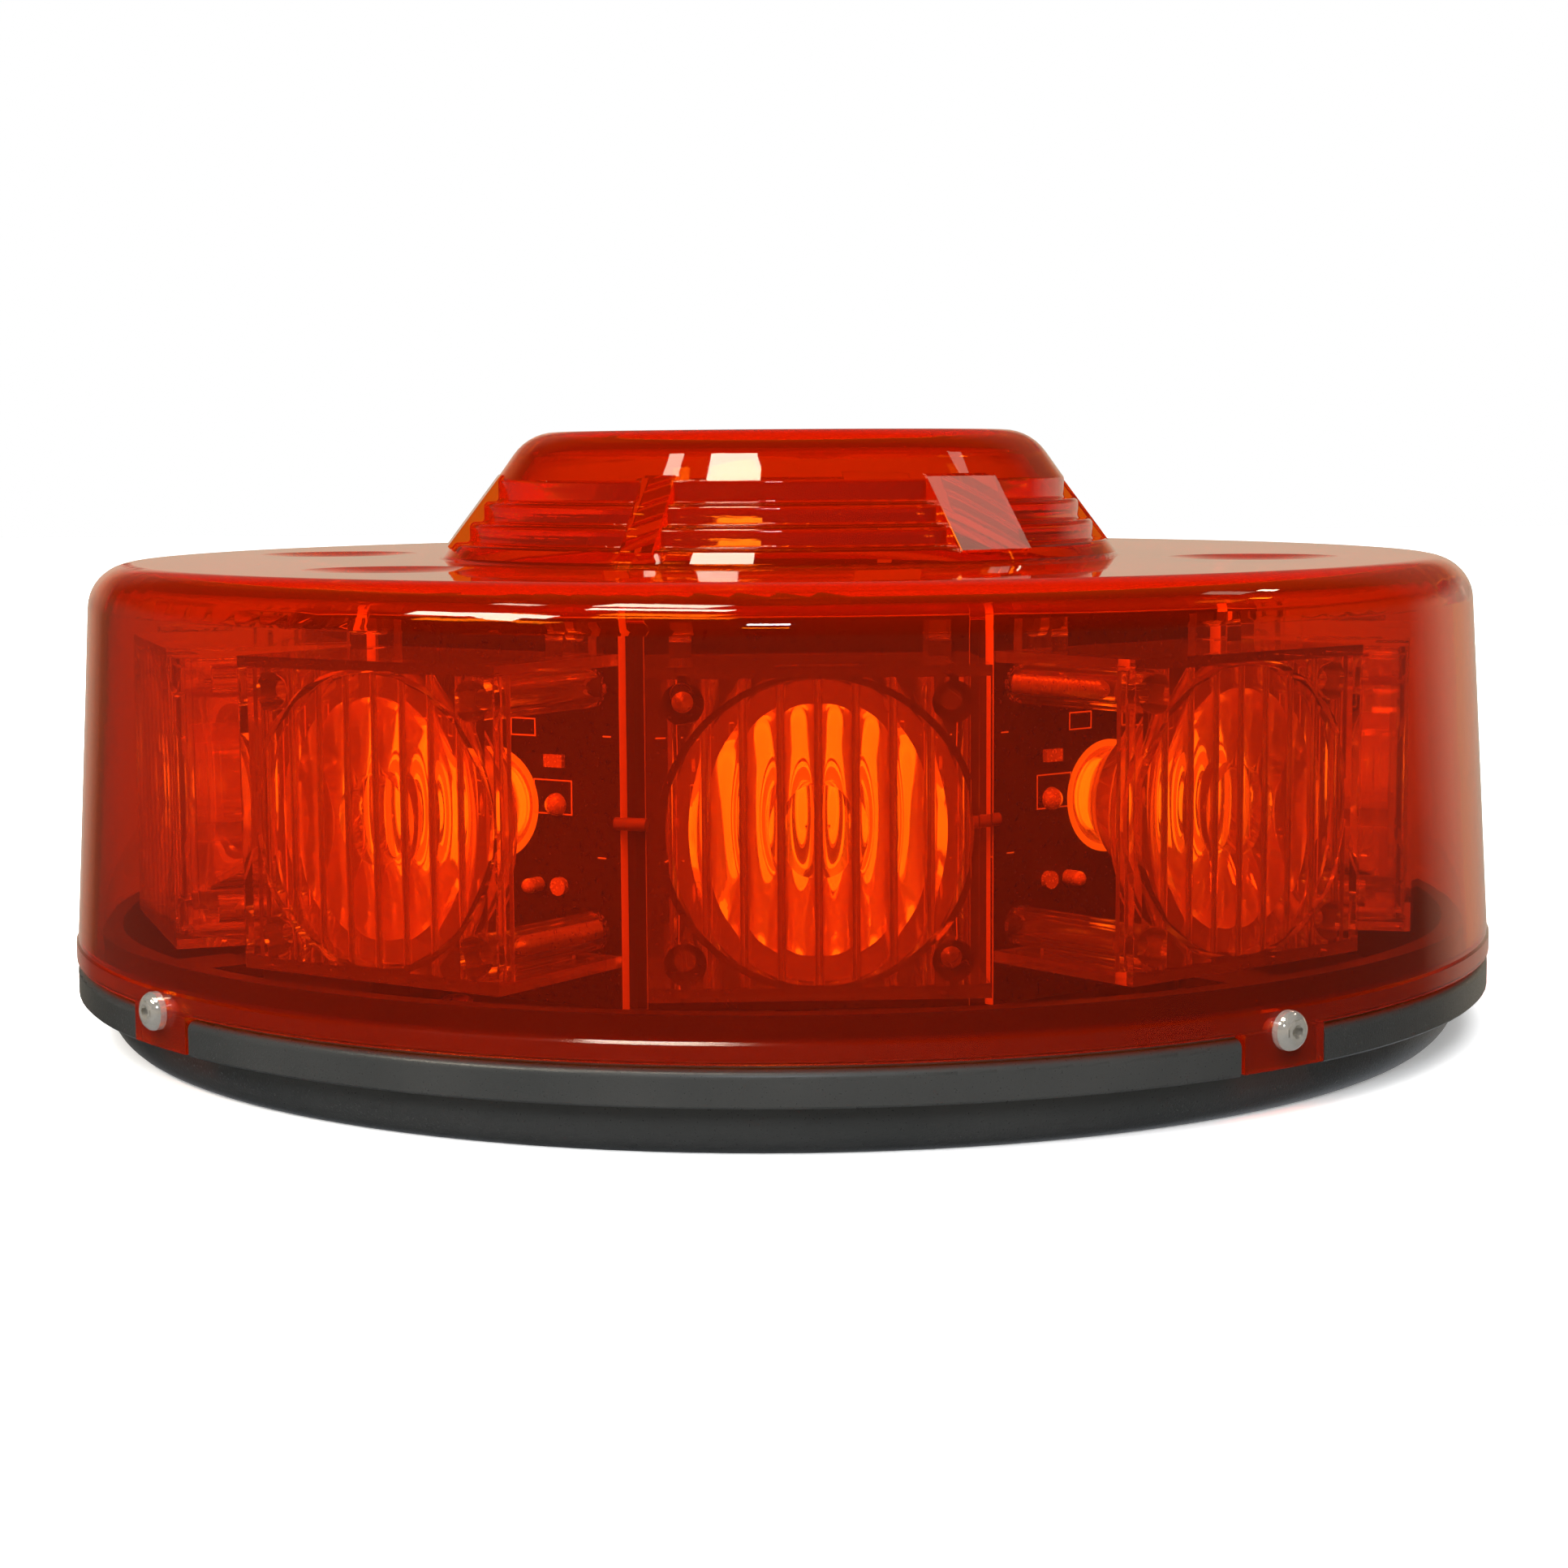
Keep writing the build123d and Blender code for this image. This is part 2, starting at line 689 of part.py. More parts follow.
def board_link():
    """Insulated link across the gap between two boards, for the gap at azimuth 0."""
    half = math.radians(head_pitch / 2)
    corner = board_face * math.cos(half) + board_width / 2 * math.sin(half)
    link = Rot(0, 90, 0) * Cylinder(link_radius, link_length)
    return Pos(0, -(corner + link_radius + fit_gap), head_mid_z - link_drop) * link


def head_azimuths():
    """Azimuth of each light head."""
    return [number * head_pitch for number in range(head_count)]


# --- board frame ---------------------------------------------------------------------------------
def leg_azimuths():
    """The frame's legs stand at every second corner."""
    return [head_pitch / 2 + number * 360 / frame_leg_count for number in range(frame_leg_count)]


def board_frame():
    """Ten-sided frame behind the boards, with five legs and feet."""
    outer = board_face - board_thickness
    inner = outer - frame_thickness
    corner = 1 / math.cos(math.radians(head_pitch / 2))
    wall = RegularPolygon(outer * corner, head_count) - RegularPolygon(inner * corner, head_count)
    body = Pos(0, 0, frame_bottom) * extrude(wall, frame_top - frame_bottom)
    leg_face = inner * corner
    leg_front = leg_face - leg_gap
    leg = block(leg_width, leg_front - leg_thickness, leg_front, foot_pad_top, frame_bottom + leg_rise)
    leg += block(leg_width, foot_place_radius - foot_reach, leg_front, foot_pad_top,
                 foot_pad_top + foot_plate)
    leg -= peg(frame_screw_radius + thread_play, 0, -foot_place_radius, 0, foot_pad_top + 2 * foot_plate)
    for copy in around(leg, leg_azimuths()):
        body += copy
    for azimuth in head_azimuths():
        for side in (-1, 1):
            hole = face_out(side * post_x, -outer, head_mid_z - side * post_z)
            body -= Rot(0, 0, azimuth) * hole * Cylinder(thread_major + thread_play, 4 * frame_thickness)
    return body


def frame_screws():
    """Screws through the frame's feet into the base."""
    screw = pan_screw(*frame_screw_head, frame_screw_radius - fit_gap, frame_screw_length)
    seat = foot_pad_top + foot_plate
    return [Pos(*polar(foot_place_radius, azimuth), seat) * screw for azimuth in leg_azimuths()]


# --- driver board --------------------------------------------------------------------------------
def driver_board():
    """Round board with a hole for the cable."""
    board = ring(driver_hole_radius, driver_radius, driver_bottom, driver_top)
    for azimuth in standoff_azimuths:
        board -= peg(driver_screw_hole, *polar(standoff_place_radius, azimuth), 0, 40)
    return board


def driver_board_screws():
    """Screws that hold the driver board on its standoffs."""
    screw = pan_screw(*frame_screw_head, frame_screw_radius - fit_gap, driver_screw_length)
    return [Pos(*polar(standoff_place_radius, azimuth), driver_top) * screw
            for azimuth in standoff_azimuths]


def choke_coil():
    """Toroidal choke, lying flat."""
    return Pos(*choke_place, driver_top + choke_section) * Torus(choke_radius, choke_section)


def filter_capacitors():
    """Three upright electrolytic capacitors."""
    top = driver_top + capacitor_height
    return [peg(capacitor_radius, x, y, driver_top, top) for x, y in capacitor_places]


def driver_chips():
    """Controller, drivers and the smaller packages."""
    return [Pos(x, y, driver_top + height / 2) * Box(width, depth, height)
            for x, y, width, depth, height in chips]


def terminal_block():
    """Three-way screw terminal for the supply wires."""
    body = Box(terminal_ways * terminal_pitch, terminal_depth, terminal_height)
    for way in range(terminal_ways):
        x = (way - (terminal_ways - 1) / 2) * terminal_pitch
        mouth = Box(terminal_mouth, terminal_depth - 1, mouth_height)
        body -= Pos(x, -terminal_depth / 2, -mouth_drop) * mouth
        body -= peg(screw_well_radius, x, 0, terminal_height / 2 - screw_well_depth, terminal_height)
    return Pos(0, terminal_y, driver_top + terminal_height / 2) * body


def pattern_switch():
    """Body of the push button, open at the top for the stem."""
    body = Pos(0, 0, switch_height / 2) * Box(switch_side, switch_side, switch_height)
    depth = button_travel + button_clearance + button_engagement
    body -= Pos(0, 0, switch_height - depth / 2) * Box(switch_hole, switch_hole, depth)
    return Pos(switch_x, switch_y, driver_top) * body


def pattern_button():
    """Square stem with a round cap, standing clear of the body by more than its travel."""
    gap = button_travel + button_clearance
    stem_bottom = switch_height - button_engagement
    stem = Pos(0, 0, (stem_bottom + switch_height + gap) / 2) * Box(
        button_stem, button_stem, switch_height + gap - stem_bottom)
    cap = peg(button_cap_radius, 0, 0, switch_height + gap, switch_height + gap + button_cap_height)
    cap = chamfer(cap.faces().sort_by(Axis.Z)[-1].edges(), button_chamfer)
    return Pos(switch_x, switch_y, driver_top) * (stem + cap)


# --- underside -----------------------------------------------------------------------------------
def cable_grommet():
    """Rubber grommet in the floor, flanged above and below."""
    body = ring(0, grommet_neck, underside_gap, floor_top + grommet_flange_height)
    body += ring(0, grommet_flange, underside_gap, grommet_seat)
    body += ring(0, grommet_flange, floor_top, floor_top + grommet_flange_height)
    return body - peg(cable_bore, 0, 0, -1, floor_top + grommet_flange_height + 1)


def mount_inserts():
    """Brass inserts, open below for the fixing bolts."""
    inserts = []
    for azimuth in mount_azimuths:
        x, y = polar(mount_circle_radius, azimuth)
        insert = peg(insert_radius, x, y, underside_gap, insert_length)
        inserts.append(insert - peg(insert_bore, x, y, -1, insert_length + 1))
    return inserts


def mounting_gasket():
    """Rubber ring in the underside's groove."""
    return ring(gasket_inner + gasket_play, gasket_outer - gasket_play, 0, gasket_thickness)


# --- output --------------------------------------------------------------------------------------
def save(name, shapes):
    """Write one node. A list is kept as separate solids."""
    if isinstance(shapes, list):
        shapes = Compound(children=[solid for shape in shapes for solid in shape.solids()])
    export_step(shapes, f"parts/{name}.step")


def main():
    os.makedirs("parts", exist_ok=True)
    save("base_housing", base_housing())
    save("dome_lens", dome_lens())
    save("dome_seal", dome_seal().solids())
    save("dome_screws", dome_screws())

    heads = {
        "optic_cover": optic_cover(),
        "collimator": collimator(),
        "led_board": led_board(),
        "led_emitter": led_emitter(),
    }
    for number, azimuth in enumerate(head_azimuths(), start=1):
        for name, shape in heads.items():
            save(f"{name}_{number:02d}", Rot(0, 0, azimuth) * shape)
    gaps = [azimuth + head_pitch / 2 for azimuth in head_azimuths()]
    small_parts = board_parts()
    save("board_components", [Rot(0, 0, azimuth) * part for azimuth in head_azimuths()
                              for part in small_parts])
    save("board_links", around(board_link(), gaps))
    save("cover_screws", cover_screws())

    save("board_frame", board_frame())
    save("frame_screws", frame_screws())
    save("driver_board", driver_board())
    save("driver_board_screws", driver_board_screws())
    save("choke_coil", choke_coil())
    save("filter_capacitors", filter_capacitors())
    save("driver_chips", driver_chips())
    save("terminal_block", terminal_block())
    save("pattern_switch", pattern_switch())
    save("pattern_button", pattern_button())

    save("cable_grommet", cable_grommet())
    save("mount_inserts", mount_inserts())
    save("mounting_gasket", mounting_gasket())


main()
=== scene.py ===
import math

import bmesh
import bpy
from mathutils import Matrix, Vector


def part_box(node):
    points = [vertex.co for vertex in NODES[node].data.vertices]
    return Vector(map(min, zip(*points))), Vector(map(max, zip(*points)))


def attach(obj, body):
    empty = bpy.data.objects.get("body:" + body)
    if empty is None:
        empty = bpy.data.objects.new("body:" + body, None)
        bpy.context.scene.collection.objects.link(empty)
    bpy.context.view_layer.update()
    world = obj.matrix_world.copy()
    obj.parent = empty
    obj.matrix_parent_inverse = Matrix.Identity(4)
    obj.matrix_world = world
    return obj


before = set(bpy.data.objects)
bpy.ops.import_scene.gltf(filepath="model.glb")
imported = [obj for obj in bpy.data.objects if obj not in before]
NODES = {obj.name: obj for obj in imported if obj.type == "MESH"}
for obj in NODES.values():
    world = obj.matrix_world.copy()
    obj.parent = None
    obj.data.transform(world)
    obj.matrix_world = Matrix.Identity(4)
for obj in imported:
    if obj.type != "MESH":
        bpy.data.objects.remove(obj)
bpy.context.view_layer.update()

SCENE = bpy.context.scene
HEADS = 10

# --- values of the camera: millimetres for the sensor and the lens, degrees for the turns -----
SENSOR = 36
LENS = 68.61
CAMERA_PLACE = (0, -0.4915, 0.0917)
CAMERA_AZIMUTH = -2.74           # round the beacon, then the camera's own turns
CAMERA_YAW = -0.043
CAMERA_PITCH = 6.308
CAMERA_ROLL = -0.383
NEAREST = 0.01

# --- values of the room: azimuth 0 is -Y and 90 is +X -------------------------------------------
# sine of the elevation, and the room's colour there
WALL_COLOURS = ((-1.0, (0.72, 0.77, 0.82)), (-0.40, (0.40, 0.42, 0.45)), (-0.20, (0.44, 0.40, 0.33)),
                (0.07, (0.60, 0.51, 0.37)), (0.13, (0.42, 0.34, 0.24)), (0.20, (0.14, 0.11, 0.08)),
                (0.50, (0.07, 0.06, 0.05)), (1.0, (0.05, 0.045, 0.04)))
BRIGHT_WALL = 165                # azimuth of the bright wall's middle
WALL_EDGE = (0.66, 0.84)         # cosines from its middle where it starts and where it is full
FRONT_SHADE = 0.14               # how bright the rest is beside it
AIM = (0, 0, 0.05)               # the lamps face this point
CREAM = (1, 0.89, 0.70)
BLUISH = (0.80, 0.88, 1.0)
# azimuth, elevation, distance, width, height, radiance
CEILING_PANELS = ((-58, 39.5, 3.6, 1.4, 0.42, 24), (-30, 58, 2.7, 0.85, 0.2, 26),
                  (-72, 60.5, 2.8, 0.3, 0.14, 12), (-37, 67, 2.7, 0.66, 0.34, 22),
                  (113, 43, 3.4, 0.16, 0.16, 24), (105, 47, 3.4, 0.35, 0.35, 2.4))
# the same, with a power in watts in place of the radiance
WINDOW = (-5, 27, 3.0, 0.34, 0.16, 10)
SOFT_FILL = (-15, 45, 2.5, 2.5, 2.0, 200)
FLOOR_HALF = 3.0
FLOOR_GREY = 0.9
FLOOR_ROUGHNESS = 0.9
FLOOR_GLOW = (0.3, 1.0, 0.15, 0.8)   # least and most, and the distances where it starts and is full

# --- values of the dome ----------------------------------------------------------------------
LIP_TOP = 0.0168                 # the dome's matt lip ends here
LIP_BLEND = 0.0004
LIP_ROUGHNESS = 0.12             # what it adds to the roughness and to the haze
LIP_HAZE = 0.03
WALL_HAZE = 0.028                # share of scattered light in the dome's wall and in its top
TOP_HAZE = 0.06
HAZE_RISE = (0.068, 0.075)       # heights between which one passes into the other
DUST_SPACING = 0.006             # between the cells that may hold a speck
DUST_SIZE = 0.00022
DUST_BLUR = 0.5                  # share of a speck's radius over which it fades out
DUST_SHARE = 0.35                # of the cells hold a speck
DUST_STRONG = 0.9                # of those specks are at full strength
DUST_HAZE = 0.25

# --- values of the clear plastics and the other finishes ----------------------------------------
DOME_PLASTIC = dict(tint=(0.91, 0.18, 0.006), shadow_tint=(0.96, 0.36, 0.03), ior=1.5, rough=(0.012, 0.03),
                    wave_depth=0.00002, haze=(0.95, 0.042, 0.001), haze_share=WALL_HAZE)
COVER_PLASTIC = dict(tint=(0.97, 0.97, 0.95), shadow_tint=(0.93, 0.93, 0.92), ior=1.49, rough=(0.01, 0.03),
                     wave_depth=0.00001, haze=(0.95, 0.88, 0.75), haze_share=0.026)
OPTIC_PLASTIC = dict(tint=(0.98, 0.98, 0.97), shadow_tint=(0.97, 0.97, 0.97), ior=1.49, rough=(0.0, 0.015),
                     wave_depth=0.000004, haze=(1.0, 0.80, 0.50), haze_share=0.11)
WAVE_SCALE = 60                  # waves and gloss of the clear plastics, per metre
GLOSS_SCALE = 240
DEEPEST = 0.96                   # tint where a wave is deepest
CLOUD_SCALE = 45                 # uneven colour of the opaque surfaces
HOUSING_SPECULAR = 0.4

# darkest and lightest colour, range of roughness, grains per metre, their depth and the share of metal
BOARD_FINISH = ((0.008, 0.009, 0.009), (0.02, 0.02, 0.02), (0.25, 0.4), 1500, 0.00001, 0)
LAMINATE_FINISH = ((0.62, 0.55, 0.36), (0.80, 0.72, 0.50), (0.5, 0.7), 1500, 0.00003, 0)
INK_FINISH = ((0.62, 0.62, 0.60), (0.78, 0.78, 0.76), (0.5, 0.6), 1500, 0.00001, 0)
PAD_FINISH = ((0.66, 0.62, 0.52), (0.80, 0.76, 0.66), (0.4, 0.5), 1500, 0.00001, 0)
# painted glow of the white pads under the LEDs, which are no lamp
PAD_PAINTED_GLOW = ((1.0, 0.55, 0.12), 0.5)                      # colour and strength
PHOSPHOR = ((0.85, 0.50, 0.08), (0.95, 0.66, 0.14))      # darkest and lightest
PHOSPHOR_SCALE = 900
PHOSPHOR_ROUGHNESS = 0.25
# painted glow of the phosphor, though the LEDs are not lit: colour and strength
PHOSPHOR_PAINTED_GLOW = ((1.0, 0.62, 0.12), 2.3)
# the same as a finish above, then the nodes that have it
FINISHES = {
    "black_housing_plastic": ((0.012, 0.013, 0.013), (0.023, 0.023, 0.022), (0.27, 0.36), 3000, 0.00003, 0,
                              ("base_housing",)),
    "nickel": ((0.68, 0.65, 0.58), (0.84, 0.81, 0.74), (0.06, 0.12), 1500, 0.000006, 0.88,
               ("dome_screws",)),
    "zinc": ((0.50, 0.50, 0.50), (0.72, 0.72, 0.70), (0.25, 0.4), 1500, 0.00002, 0.9,
             ("frame_screws", "driver_board_screws", "cover_screws")),
    "solder": ((0.60, 0.60, 0.58), (0.80, 0.79, 0.76), (0.18, 0.3), 2500, 0.00003, 0.6,
               ("board_components",)),
    "rubber": ((0.012, 0.012, 0.012), (0.03, 0.03, 0.03), (0.6, 0.8), 2500, 0.00004, 0,
               ("dome_seal", "mounting_gasket", "cable_grommet")),
    "green_board": ((0.01, 0.09, 0.03), (0.02, 0.16, 0.06), (0.25, 0.4), 1500, 0.00001, 0,
                    ("driver_board",)),
    "terminal_green": ((0.02, 0.20, 0.09), (0.03, 0.28, 0.12), (0.35, 0.5), 2000, 0.00002, 0,
                       ("terminal_block",)),
    "frame_black": ((0.01, 0.01, 0.01), (0.02, 0.02, 0.02), (0.4, 0.55), 1500, 0.00002, 0,
                    ("board_frame", "pattern_switch")),
    "chip_black": ((0.015, 0.015, 0.016), (0.03, 0.03, 0.032), (0.45, 0.6), 4000, 0.00001, 0,
                   ("driver_chips",)),
    "capacitor_can": ((0.05, 0.06, 0.10), (0.08, 0.09, 0.15), (0.25, 0.35), 1500, 0.00001, 0,
                      ("filter_capacitors",)),
    "copper": ((0.55, 0.22, 0.08), (0.75, 0.34, 0.14), (0.2, 0.35), 1500, 0.00002, 1.0, ("choke_coil",)),
    "link_sleeve": ((0.10, 0.08, 0.06), (0.18, 0.15, 0.11), (0.3, 0.45), 1500, 0.00002, 0,
                    ("board_links",)),
    "button_red": ((0.45, 0.02, 0.015), (0.6, 0.04, 0.03), (0.3, 0.45), 1500, 0.00002, 0,
                   ("pattern_button",)),
    "brass": ((0.70, 0.48, 0.18), (0.85, 0.62, 0.28), (0.2, 0.3), 1500, 0.00002, 1.0, ("mount_inserts",)),
}

# --- values of the marks on an LED board, alike on both sides of its middle ----------------------
EDGE_SKIN = 0.00004              # sawn edge of a board, proud of the board's own edge
PRINT_HEIGHT = 0.00004
PRINT_STROKE = 0.0002
SQUARES = (((0.0074, 0.0142), (0.041, 0.046)), ((0.0034, 0.0079), (0.052, 0.0546)))
DASHES = ((0.0113, 0.0486), (0.0197, 0.0524), (0.0186, 0.0352))
DASH_LENGTH = 0.0014
LED_PAD = 0.0082                 # radius of the white pad under each LED
PAD_POINTS = 48


# --- camera ------------------------------------------------------------------------------
def make_camera():
    """Camera in front of head 1, a little above the dome's middle and tilted down."""
    azimuth, yaw, pitch, roll = map(math.radians, (CAMERA_AZIMUTH, CAMERA_YAW, CAMERA_PITCH, CAMERA_ROLL))
    place = Matrix.Rotation(azimuth, 3, "Z") @ Vector(CAMERA_PLACE)
    data = bpy.data.cameras.new("camera")
    data.sensor_width = SENSOR
    data.lens = LENS
    data.clip_start = NEAREST
    camera = bpy.data.objects.new("camera", data)
    turn = Matrix.Rotation(azimuth + yaw, 3, "Z")
    tilt = Matrix.Rotation(math.pi / 2 - pitch, 3, "X")
    lean = Matrix.Rotation(roll, 3, "Z")
    camera.matrix_world = Matrix.Translation(place) @ (turn @ tilt @ lean).to_4x4()
    SCENE.collection.objects.link(camera)
    SCENE.camera = camera


# --- light and stage -----------------------------------------------------------------------
def toward(azimuth, elevation):
    """Unit direction of two angles in degrees."""
    a, e = math.radians(azimuth), math.radians(elevation)
    return Vector((math.sin(a) * math.cos(e), -math.cos(a) * math.cos(e), math.sin(e)))


def panel(name, azimuth, elevation, distance, width, height, power, colour=(1, 1, 1)):
    """Rectangular lamp that faces the beacon's middle. Its power is in watts."""
    data = bpy.data.lights.new(name, "AREA")
    data.shape = "RECTANGLE"
    data.size, data.size_y = width, height
    data.energy = power
    data.color = colour
    lamp = bpy.data.objects.new(name, data)
    centre = Vector(AIM)
    lamp.location = centre + toward(azimuth, elevation) * distance
    lamp.rotation_euler = (centre - lamp.location).to_track_quat("-Z", "Y").to_euler()
    SCENE.collection.objects.link(lamp)
    return lamp


def make_world():
    """White for the camera. Everything else sees a dim room with a cream wall behind the beacon."""
    world = bpy.data.worlds.new("room")
    SCENE.world = world
    world.use_nodes = True
    nodes, links = world.node_tree.nodes, world.node_tree.links
    nodes.clear()
    split = nodes.new("ShaderNodeSeparateXYZ")
    place = nodes.new("ShaderNodeTexCoord")
    links.new(place.outputs["Generated"], split.inputs[0])
    height = nodes.new("ShaderNodeValToRGB")
    height.color_ramp.elements[0].color = (*WALL_COLOURS[0][1], 1)
    height.color_ramp.elements[1].color = (*WALL_COLOURS[-1][1], 1)
    for sine, colour in WALL_COLOURS[1:-1]:
        height.color_ramp.elements.new((sine + 1) / 2).color = (*colour, 1)
    links.new(spread(nodes, links, split.outputs["Z"], 0, 1, -1, 1), height.inputs[0])
    shade = nodes.new("ShaderNodeMix")
    shade.data_type = "RGBA"
    shade.blend_type = "MULTIPLY"
    shade.inputs["Factor"].default_value = 1
    links.new(height.outputs["Color"], shade.inputs["A"])
    facing = nodes.new("ShaderNodeVectorMath")
    facing.operation = "DOT_PRODUCT"
    links.new(place.outputs["Generated"], facing.inputs[0])
    facing.inputs[1].default_value = toward(BRIGHT_WALL, 0)
    links.new(spread(nodes, links, facing.outputs["Value"], FRONT_SHADE, 1, *WALL_EDGE), shade.inputs["B"])
    room = nodes.new("ShaderNodeBackground")
    links.new(shade.outputs["Result"], room.inputs["Color"])
    white = nodes.new("ShaderNodeBackground")
    white.inputs["Color"].default_value = (1, 1, 1, 1)
    mix = nodes.new("ShaderNodeMixShader")
    links.new(nodes.new("ShaderNodeLightPath").outputs["Is Camera Ray"], mix.inputs[0])
    links.new(room.outputs[0], mix.inputs[1])
    links.new(white.outputs[0], mix.inputs[2])
    links.new(mix.outputs[0], nodes.new("ShaderNodeOutputWorld").inputs["Surface"])


def make_lamps():
    """Ceiling panels, a window behind the camera and a wide soft fill that doesn't show as a reflection."""
    for number, (azimuth, elevation, distance, width, height, radiance) in enumerate(CEILING_PANELS):
        panel(f"ceiling_{number}", azimuth, elevation, distance, width, height,
              radiance * math.pi * width * height, CREAM)
    panel("window", *WINDOW, BLUISH)
    soft = panel("soft_fill", *SOFT_FILL)
    soft.visible_glossy = False
    soft.visible_transmission = False


def make_floor():
    """Plain pale floor. The base stands on it. It glows more further out, so that it has no far edge."""
    mesh = bpy.data.meshes.new("floor")
    corners = [(x * FLOOR_HALF, y * FLOOR_HALF, 0) for x, y in ((-1, -1), (1, -1), (1, 1), (-1, 1))]
    mesh.from_pydata(corners, [], [(0, 1, 2, 3)])
    floor = bpy.data.objects.new("floor", mesh)
    SCENE.collection.objects.link(floor)
    material, nodes, links, shader = new_material("floor_paint")
    shader.inputs["Base Color"].default_value = (FLOOR_GREY, FLOOR_GREY, FLOOR_GREY, 1)
    shader.inputs["Roughness"].default_value = FLOOR_ROUGHNESS
    shader.inputs["Specular IOR Level"].default_value = 0.0
    shader.inputs["Emission Color"].default_value = (1, 1, 1, 1)
    reach = nodes.new("ShaderNodeVectorMath")
    reach.operation = "LENGTH"
    links.new(nodes.new("ShaderNodeTexCoord").outputs["Object"], reach.inputs[0])
    links.new(spread(nodes, links, reach.outputs["Value"], *FLOOR_GLOW), shader.inputs["Emission Strength"])
    mesh.materials.append(material)
    floor.visible_glossy = False
    floor.visible_transmission = False


# --- materials -------------------------------------------------------------------------------
def new_material(name):
    """Empty node material with its Principled shader."""
    material = bpy.data.materials.new(name)
    material.use_nodes = True
    tree = material.node_tree
    return material, tree.nodes, tree.links, tree.nodes["Principled BSDF"]


def noise(nodes, links, scale, detail):
    """Noise over the object's own coordinates, in metres."""
    texture = nodes.new("ShaderNodeTexNoise")
    texture.inputs["Scale"].default_value = scale
    texture.inputs["Detail"].default_value = detail
    links.new(nodes.new("ShaderNodeTexCoord").outputs["Object"], texture.inputs["Vector"])
    return texture.outputs["Fac"]


def spread(nodes, links, value, low, high, start=0.3, end=0.7):
    """Maps a value between start and end to one between low and high."""
    remap = nodes.new("ShaderNodeMapRange")
    remap.inputs["From Min"].default_value = start
    remap.inputs["From Max"].default_value = end
    remap.inputs["To Min"].default_value = low
    remap.inputs["To Max"].default_value = high
    links.new(value, remap.inputs["Value"])
    return remap.outputs[0]


def joined(nodes, links, operation, first, second):
    """Two values put through a maths node."""
    both = nodes.new("ShaderNodeMath")
    both.operation = operation
    links.new(first, both.inputs[0])
    links.new(second, both.inputs[1])
    return both.outputs[0]


def blended(nodes, links, factor, dark, light):
    """Colour between two others."""
    mix = nodes.new("ShaderNodeMix")
    mix.data_type = "RGBA"
    mix.inputs["A"].default_value = (*dark, 1)
    mix.inputs["B"].default_value = (*light, 1)
    links.new(factor, mix.inputs["Factor"])
    return mix.outputs["Result"]


def bumped(nodes, links, shader, height, depth):
    """Bump from a height, depth in metres."""
    bump = nodes.new("ShaderNodeBump")
    bump.inputs["Strength"].default_value = 1
    bump.inputs["Distance"].default_value = depth
    links.new(height, bump.inputs["Height"])
    links.new(bump.outputs["Normal"], shader.inputs["Normal"])


def clouded(nodes, links, shader, colour, share):
    """Mixes a little scattering into a clear plastic, so that it glows under the lamps."""
    front = nodes.new("ShaderNodeBsdfDiffuse")
    back = nodes.new("ShaderNodeBsdfTranslucent")
    both = nodes.new("ShaderNodeMixShader")
    for number, side in enumerate((front, back)):
        side.inputs["Color"].default_value = (*colour, 1)
        links.new(side.outputs[0], both.inputs[number + 1])
    mix = nodes.new("ShaderNodeMixShader")
    mix.inputs[0].default_value = share
    links.new(shader.outputs[0], mix.inputs[1])
    links.new(both.outputs[0], mix.inputs[2])
    return mix


def lets_lamps_through(nodes, links, shader, tint):
    """Shadow rays go straight through the clear plastic with a tint, so lamps light what is inside."""
    path = nodes.new("ShaderNodeLightPath")
    clear = nodes.new("ShaderNodeBsdfTransparent")
    clear.inputs["Color"].default_value = (*tint, 1)
    mix = nodes.new("ShaderNodeMixShader")
    links.new(path.outputs["Is Shadow Ray"], mix.inputs[0])
    links.new(shader.outputs[0], mix.inputs[1])
    links.new(clear.outputs[0], mix.inputs[2])
    links.new(mix.outputs[0], nodes["Material Output"].inputs["Surface"])


def specks(nodes, links):
    """1 on small dust specks, 0 elsewhere. Each cell of a grid of random points holds one or none."""
    cells = nodes.new("ShaderNodeTexVoronoi")
    cells.inputs["Scale"].default_value = 1 / DUST_SPACING
    links.new(nodes.new("ShaderNodeTexCoord").outputs["Object"], cells.inputs["Vector"])
    edge = DUST_SIZE / DUST_SPACING
    near = spread(nodes, links, cells.outputs["Distance"], 1, 0, (1 - DUST_BLUR) * edge, edge)
    least, full = 1 - DUST_SHARE, 1 - DUST_STRONG * DUST_SHARE
    draw = spread(nodes, links, cells.outputs["Color"], 0, 1, least, full)
    return joined(nodes, links, "MULTIPLY", near, draw)


def clear_plastic(name, tint, shadow_tint, ior, rough, wave_depth, haze, haze_share):
    """Clear moulded plastic with faint waviness and a little haze. dome_plastic adds to what it returns."""
    material, nodes, links, shader = new_material(name)
    wave = noise(nodes, links, WAVE_SCALE, 2)
    deep = tuple(c * DEEPEST for c in tint)
    links.new(blended(nodes, links, wave, deep, tint), shader.inputs["Base Color"])
    links.new(spread(nodes, links, noise(nodes, links, GLOSS_SCALE, 4), *rough), shader.inputs["Roughness"])
    shader.inputs["IOR"].default_value = ior
    shader.inputs["Transmission Weight"].default_value = 1.0
    bumped(nodes, links, shader, wave, wave_depth)
    cloud = clouded(nodes, links, shader, haze, haze_share)
    lets_lamps_through(nodes, links, cloud, shadow_tint)
    return material, nodes, links, shader, cloud


